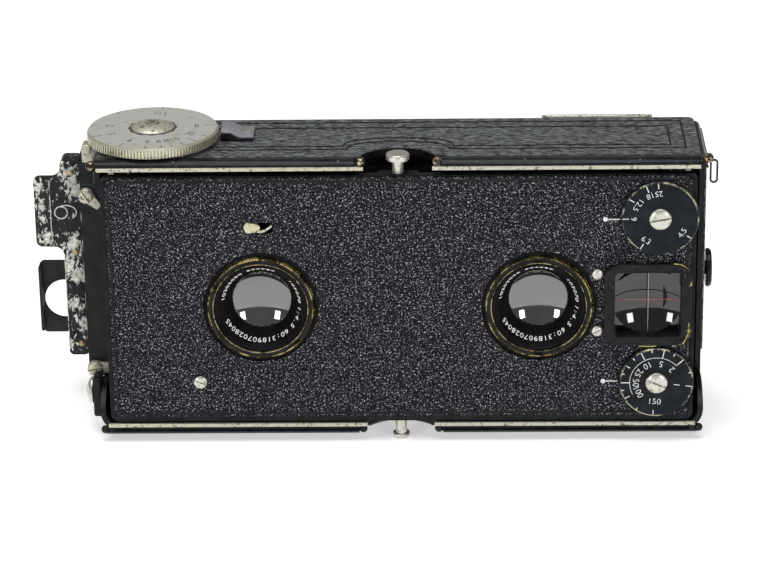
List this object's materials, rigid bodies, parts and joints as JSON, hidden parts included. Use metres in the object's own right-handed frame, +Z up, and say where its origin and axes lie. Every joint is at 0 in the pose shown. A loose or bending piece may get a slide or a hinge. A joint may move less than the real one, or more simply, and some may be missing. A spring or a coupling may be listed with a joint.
{
  "type": "stereo camera",
  "caption": "Folding stereo camera: leathered metal box, lens board with two lenses on scissor struts, front dials, finder, focusing dial on top and a plate holder.",
  "frame": {"origin": "centre of the tripod socket, on the plane of the leathered base", "axes": "+Z up, the front with its two lenses faces -Y, +X to the right of someone looking at the front"},
  "size_m": [0.1578, 0.0393, 0.0726],
  "materials": {
    "black_paint": "semi-gloss",
    "leather": "long grain",
    "pebble": "crackle",
    "nickel": "worn plating",
    "brass": "worn",
    "steel": "blued",
    "glass": "coated",
    "cloth": "matt",
    "blade": "matt"
  },
  "bodies": {
    "camera_body": {"body_shell": "black_paint", "top_leather": "leather", "base_leather": "leather", "side_leathers": "leather", "lip_strips": "nickel", "lip_beads": "black_paint", "bead_ends": "nickel", "index_base": "black_paint", "index_clip": "steel", "back_channel": "black_paint", "channel_lugs": "nickel", "light_seals": "cloth", "finder_eyepiece": "black_paint", "tripod_bush": "brass", "latch_screws": "nickel", "strap_stud": "nickel", "body_screws": "nickel", "sight_ears": "nickel"},
    "focus_carriage": {"focus_frame": "black_paint", "bellows": "cloth", "septum": "cloth"},
    "focus_knob": {"focus_dial": "nickel", "dial_hub": "nickel", "focus_shaft": "brass"},
    "standard": {"lens_board": "black_paint", "front_cover": "pebble", "pull_knobs": "nickel", "shutter_case": "black_paint", "shutter_back": "black_paint", "strut_brackets": "black_paint", "lens_rings": "brass", "front_cells": "black_paint", "front_glasses": "glass", "rear_cells": "brass", "rear_glasses": "glass", "finder_frame": "black_paint", "finder_lens": "glass", "front_screws": "nickel"},
    "aperture_knob": {"aperture_dial": "black_paint", "aperture_screw": "nickel"},
    "speed_knob": {"speed_dial": "black_paint", "speed_screw": "nickel"},
    "left_iris_body": {"left_iris": "blade"},
    "right_iris_body": {"right_iris": "blade"},
    "left_sector_body": {"left_sector": "blade"},
    "right_sector_body": {"right_sector": "blade"},
    "release_lever_body": {"release_lever": "nickel"},
    "rear_arms_body": {"rear_arms": "black_paint"},
    "front_arms_body": {"front_arms": "black_paint"},
    "upper_latch_body": {"upper_latch": "nickel"},
    "lower_latch_body": {"lower_latch": "nickel"},
    "release_button_body": {"release_button": "black_paint"},
    "rear_sight_body": {"rear_sight": "nickel"},
    "strap_loop_body": {"strap_loop": "steel"},
    "dark_slide_body": {"dark_slide": "black_paint"},
    "holder": {"plate_holder": "black_paint", "glass_plate": "glass"}
  },
  "joints": [
    {"name": "focus_turn", "type": "hinge", "parent": "camera_body", "child": "focus_knob", "pos_m": [-0.0558, 0, 0.069], "axis": [0, 0, 1], "range_deg": [0, 290]},
    {"name": "focus_slide", "type": "slide", "parent": "camera_body", "child": "focus_carriage", "axis": [0, -1, 0], "range_m": [0, 0.0025]},
    {"name": "standard_slide", "type": "slide", "parent": "focus_carriage", "child": "standard", "axis": [0, -1, 0], "range_m": [0, 0.028], "deforming": ["bellows", "septum"]},
    {"name": "rear_arm_swing", "type": "hinge", "parent": "focus_carriage", "child": "rear_arms_body", "pos_m": [0, 0.0042, 0.0065], "axis": [1, 0, 0], "range_deg": [0, 32.64]},
    {"name": "front_arm_swing", "type": "hinge", "parent": "standard", "child": "front_arms_body", "pos_m": [0, -0.0018, 0.0065], "axis": [-1, 0, 0], "range_deg": [0, 32.64]},
    {"name": "aperture_turn", "type": "hinge", "parent": "standard", "child": "aperture_knob", "pos_m": [0.0585, -0.016, 0.053], "axis": [0, -1, 0], "range_deg": [-146, 86]},
    {"name": "left_iris_turn", "type": "hinge", "parent": "standard", "child": "left_iris_body", "pos_m": [-0.0315, -0.0075, 0.0314], "axis": [0, -1, 0], "range_deg": [-36.5, 21.5]},
    {"name": "right_iris_turn", "type": "hinge", "parent": "standard", "child": "right_iris_body", "pos_m": [0.0315, -0.0075, 0.0314], "axis": [0, -1, 0], "range_deg": [-36.5, 21.5]},
    {"name": "speed_turn", "type": "hinge", "parent": "standard", "child": "speed_knob", "pos_m": [0.0583, -0.016, 0.0132], "axis": [0, -1, 0], "range_deg": [-85, 187]},
    {"name": "lever_press", "type": "hinge", "parent": "standard", "child": "release_lever_body", "pos_m": [-0.0315, -0.011, 0.0314], "axis": [0, 1, 0], "range_deg": [0, 10], "stiffness_Nm_per_rad": 0.02, "springref_deg": -5.73},
    {"name": "left_sector_swing", "type": "hinge", "parent": "standard", "child": "left_sector_body", "pos_m": [-0.0315, -0.0063, 0.0484], "axis": [0, 1, 0], "range_deg": [0, 60]},
    {"name": "right_sector_swing", "type": "hinge", "parent": "standard", "child": "right_sector_body", "pos_m": [0.0315, -0.0063, 0.0484], "axis": [0, 1, 0], "range_deg": [0, 60]},
    {"name": "upper_latch_turn", "type": "hinge", "parent": "camera_body", "child": "upper_latch_body", "pos_m": [-0.0712, -0.0045, 0.0549], "axis": [0, -1, 0], "range_deg": [-120, 120]},
    {"name": "lower_latch_turn", "type": "hinge", "parent": "camera_body", "child": "lower_latch_body", "pos_m": [-0.0712, -0.0045, 0.0123], "axis": [0, -1, 0], "range_deg": [0, 150]},
    {"name": "button_press", "type": "slide", "parent": "camera_body", "child": "release_button_body", "axis": [-1, 0, 0], "range_m": [0, 0.0006], "stiffness_N_per_m": 400, "springref_m": -0.0004},
    {"name": "sight_fold", "type": "hinge", "parent": "camera_body", "child": "rear_sight_body", "pos_m": [0.0455, 0.01575, 0.0661], "axis": [1, 0, 0], "range_deg": [0, 170]},
    {"name": "loop_swing", "type": "hinge", "parent": "camera_body", "child": "strap_loop_body", "pos_m": [0.0705, -0.01245, 0.0646], "axis": [0, -1, 0], "range_deg": [0, 90]},
    {"name": "holder_slide", "type": "slide", "parent": "camera_body", "child": "holder", "axis": [-1, 0, 0], "range_m": [0, 0.13]},
    {"name": "dark_slide_pull", "type": "slide", "parent": "holder", "child": "dark_slide_body", "axis": [-1, 0, 0], "range_m": [0, 0.13]}
  ],
  "couplings": [
    {"joint": "focus_turn", "follows": "focus_slide", "rad_per_m": 2024.6},
    {"joint": "rear_arm_swing", "follows": "standard_slide", "rad_per_m": 20.348},
    {"joint": "front_arm_swing", "follows": "standard_slide", "rad_per_m": 20.348},
    {"joint": "left_iris_turn", "follows": "aperture_turn", "ratio": 0.25},
    {"joint": "right_iris_turn", "follows": "aperture_turn", "ratio": 0.25},
    {"joint": "left_sector_swing", "follows": "lever_press", "ratio": 6},
    {"joint": "right_sector_swing", "follows": "lever_press", "ratio": 6}
  ]
}
